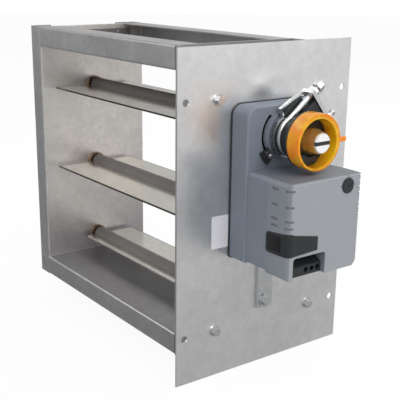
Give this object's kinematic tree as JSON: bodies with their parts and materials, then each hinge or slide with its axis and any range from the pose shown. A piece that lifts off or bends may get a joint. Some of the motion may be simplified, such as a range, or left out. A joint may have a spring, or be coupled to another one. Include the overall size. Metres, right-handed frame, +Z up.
{
  "type": "volume control damper",
  "caption": "Rectangular multi-blade air damper: flanged sheet frame, parallel blades on a crank linkage, side plate and clamp-on rotary actuator.",
  "frame": {"origin": "centre of the clear duct opening, at half the frame depth", "axes": "+X along the blade shafts towards the actuator, +Y along the air flow with the front flange at -Y, +Z up"},
  "size_m": [0.3734, 0.197, 0.3],
  "materials": {
    "galvanised_sheet": "galvanised, satin",
    "plate_sheet": "galvanised, light satin",
    "blade_sheet": "galvanised, slightly glossy",
    "steel_shaft": "drawn bar",
    "drive_shaft_white": "satin",
    "zinc_steel": "zinc plated",
    "linkage_steel": "zinc plated",
    "rivet_aluminium": "plain",
    "bush_brass": "turned",
    "collar_brass": "turned",
    "housing_blue_grey": "matt",
    "cover_grey": "matt",
    "black_plastic": "matt",
    "orange_plastic": "translucent, glossy"
  },
  "bodies": {
    "frame": {"top_channel": "galvanised_sheet", "bottom_channel": "galvanised_sheet", "far_side_channel": "galvanised_sheet", "drive_side_channel": "galvanised_sheet", "frame_rivets": "rivet_aluminium", "blade_bushes": "bush_brass", "bush_retainers": "zinc_steel", "drive_bush_inner": "bush_brass", "drive_bush_plate": "bush_brass", "drive_plate": "plate_sheet", "plate_screws": "zinc_steel", "backing_pad": "black_plastic", "rear_housing": "housing_blue_grey", "mid_housing": "housing_blue_grey", "front_cover": "cover_grey", "service_cap": "black_plastic", "terminal_block": "black_plastic", "anti_rotation_strap": "zinc_steel", "strap_screw": "zinc_steel", "strap_pin": "zinc_steel"},
    "blade_1": {"blade_sheet_1": "blade_sheet", "blade_shaft_1": "steel_shaft", "blade_rivets_1": "rivet_aluminium", "shaft_clip_1": "zinc_steel", "blade_crank_1": "linkage_steel", "crank_pins_1": "linkage_steel", "crank_screw_1": "zinc_steel"},
    "blade_2": {"blade_sheet_2": "blade_sheet", "blade_shaft_2": "steel_shaft", "blade_rivets_2": "rivet_aluminium", "shaft_clip_2": "zinc_steel", "blade_crank_2": "linkage_steel", "crank_pins_2": "linkage_steel", "crank_screw_2": "zinc_steel"},
    "blade_3": {"blade_sheet_3": "blade_sheet", "blade_shaft_3": "steel_shaft", "blade_rivets_3": "rivet_aluminium", "shaft_clip_3": "zinc_steel", "blade_crank_3": "linkage_steel", "crank_pins_3": "linkage_steel", "crank_screw_3": "zinc_steel"},
    "drive": {"drive_shaft": "drive_shaft_white", "hub_sleeve": "black_plastic", "clamp_ubolt": "zinc_steel", "clamp_jaw": "zinc_steel", "clamp_wedge": "black_plastic", "clamp_nuts": "zinc_steel", "clamp_band": "zinc_steel", "position_ring": "orange_plastic", "shaft_collar": "collar_brass", "drive_crank": "linkage_steel", "drive_crank_pin": "linkage_steel", "drive_crank_screw": "zinc_steel"},
    "tie_bar": {"tie_bar": "linkage_steel"},
    "drive_link": {"drive_link": "linkage_steel"},
    "selector": {"selector_knob": "cover_grey"},
    "end_stop": {"end_stop": "black_plastic", "stop_screw": "zinc_steel"}
  },
  "joints": [
    {"name": "drive_turn", "type": "hinge", "parent": "frame", "child": "drive", "pos_m": [0.18, 0.02, 0.0632], "axis": [1, 0, 0], "range_deg": [0, 88]},
    {"name": "blade_1_turn", "type": "hinge", "parent": "frame", "child": "blade_1", "pos_m": [0, 0, 0.075], "axis": [1, 0, 0], "range_deg": [0, 88]},
    {"name": "blade_2_turn", "type": "hinge", "parent": "frame", "child": "blade_2", "pos_m": [0, 0, -0.013], "axis": [1, 0, 0], "range_deg": [0, 88]},
    {"name": "blade_3_turn", "type": "hinge", "parent": "frame", "child": "blade_3", "pos_m": [0, 0, -0.101], "axis": [1, 0, 0], "range_deg": [0, 88]},
    {"name": "tie_bar_swing", "type": "hinge", "parent": "blade_1", "child": "tie_bar", "pos_m": [0.13625, -0.01726, 0.09167], "axis": [1, 0, 0], "range_deg": [-88, 0]},
    {"name": "drive_link_swing", "type": "hinge", "parent": "drive", "child": "drive_link", "pos_m": [0.13625, 0.04313, 0.0696], "axis": [1, 0, 0], "range_deg": [-88, 0]},
    {"name": "selector_turn", "type": "hinge", "parent": "frame", "child": "selector", "pos_m": [0.222, 0.0436, 0.0261], "axis": [1, 0, 0], "range_deg": [0, 90]},
    {"name": "end_stop_slide", "type": "hinge", "parent": "frame", "child": "end_stop", "pos_m": [0.172, 0.02, 0.0632], "axis": [1, 0, 0], "range_deg": [-77, 0]}
  ],
  "couplings": [
    {"joint": "blade_1_turn", "follows": "drive_turn", "ratio": 1},
    {"joint": "blade_2_turn", "follows": "drive_turn", "ratio": 1},
    {"joint": "blade_3_turn", "follows": "drive_turn", "ratio": 1},
    {"joint": "tie_bar_swing", "follows": "drive_turn", "ratio": -1},
    {"joint": "drive_link_swing", "follows": "drive_turn", "ratio": -1}
  ]
}
